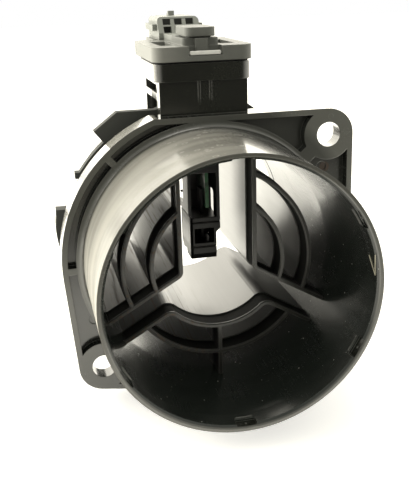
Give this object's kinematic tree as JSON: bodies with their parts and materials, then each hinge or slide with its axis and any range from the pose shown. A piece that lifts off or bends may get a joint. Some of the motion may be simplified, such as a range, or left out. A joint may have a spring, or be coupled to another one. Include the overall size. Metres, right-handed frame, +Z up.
{
  "type": "mass airflow sensor",
  "caption": "Round intake duct with a two-lobed mounting flange, a three-armed flow guide in the bore and a plug-in sensor module in a top tower.",
  "frame": {"origin": "centre of the inlet rim, on the duct axis", "axes": "+Y along the duct from inlet to outlet, +Z up through the sensor tower"},
  "size_m": [0.1004, 0.1052, 0.128],
  "materials": {
    "housing_plastic": "moulded, satin, charcoal",
    "guide_plastic": "moulded, satin, black",
    "module_plastic": "moulded, satin, dark grey",
    "cover_plastic": "moulded, satin",
    "board_laminate": "green solder mask",
    "chip_resin": "moulded resin",
    "capacitor_ceramic": "fired ceramic",
    "carrier_plastic": "moulded, dark",
    "chip_silicon": "polished silicon",
    "bead_resin": "dipped resin",
    "lead_wire": "drawn wire",
    "terminal_brass": "stamped, tin-flashed",
    "cap_plastic": "moulded, satin, dark grey",
    "seal_rubber": "moulded rubber",
    "screw_steel": "zinc plated"
  },
  "bodies": {
    "root": {"tube_housing": "housing_plastic", "flow_guide": "guide_plastic", "sensor_body": "module_plastic", "bypass_cover": "cover_plastic", "board_cover": "cover_plastic", "circuit_board": "board_laminate", "signal_chip": "chip_resin", "board_capacitors": "capacitor_ceramic", "board_resistors": "chip_resin", "chip_carrier": "carrier_plastic", "sensing_chip": "chip_silicon", "temperature_bead": "bead_resin", "temperature_leads": "lead_wire", "terminal_pins": "terminal_brass", "contact_cap": "cap_plastic", "module_seal": "seal_rubber", "module_screws": "screw_steel"}
  },
  "joints": []
}
